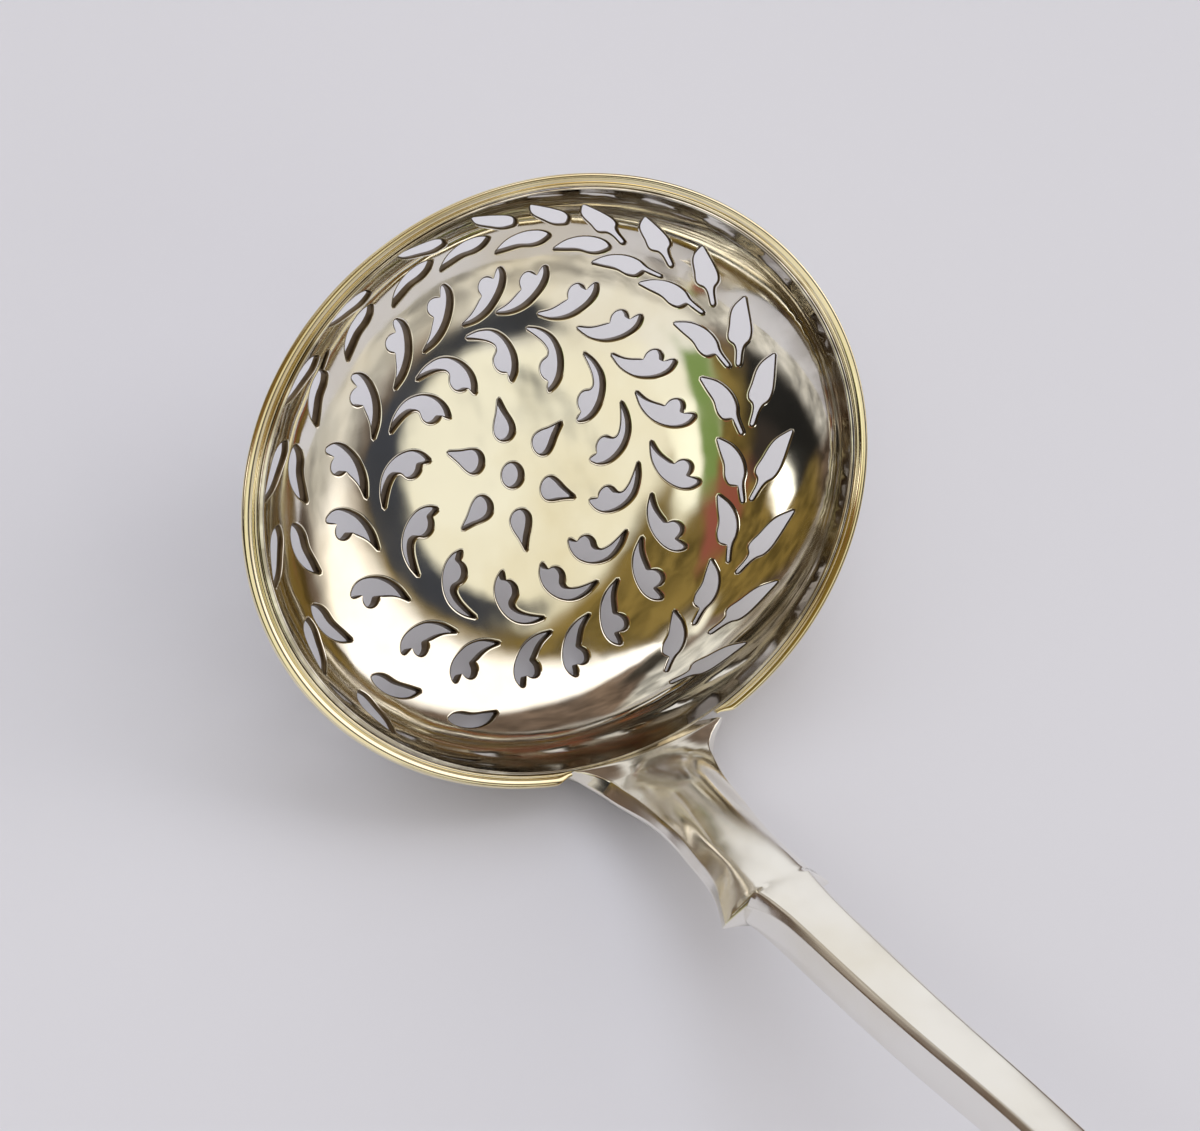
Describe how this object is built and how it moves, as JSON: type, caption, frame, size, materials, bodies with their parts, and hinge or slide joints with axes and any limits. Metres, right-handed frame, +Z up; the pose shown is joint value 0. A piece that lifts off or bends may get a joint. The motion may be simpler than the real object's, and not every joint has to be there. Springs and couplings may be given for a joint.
{
  "type": "sifter spoon",
  "caption": "Sifter spoon with an oval pierced bowl, a moulded rim wire and a curved fiddle-pattern handle.",
  "frame": {"origin": "under the middle of the resting spoon's bounding box, on the table", "axes": "+Z up; +X from the bowl to the handle's end; the spoon lies on its bowl and handle end, its mouth tipped towards +X"},
  "size_m": [0.129, 0.05, 0.0298],
  "materials": {
    "silver": "polished silver with fine wear",
    "wire_silver": "polished silver, slightly warm in the grooves"
  },
  "bodies": {
    "root": {"bowl": "silver", "rim_wire": "wire_silver", "stem": "silver"}
  },
  "joints": []
}
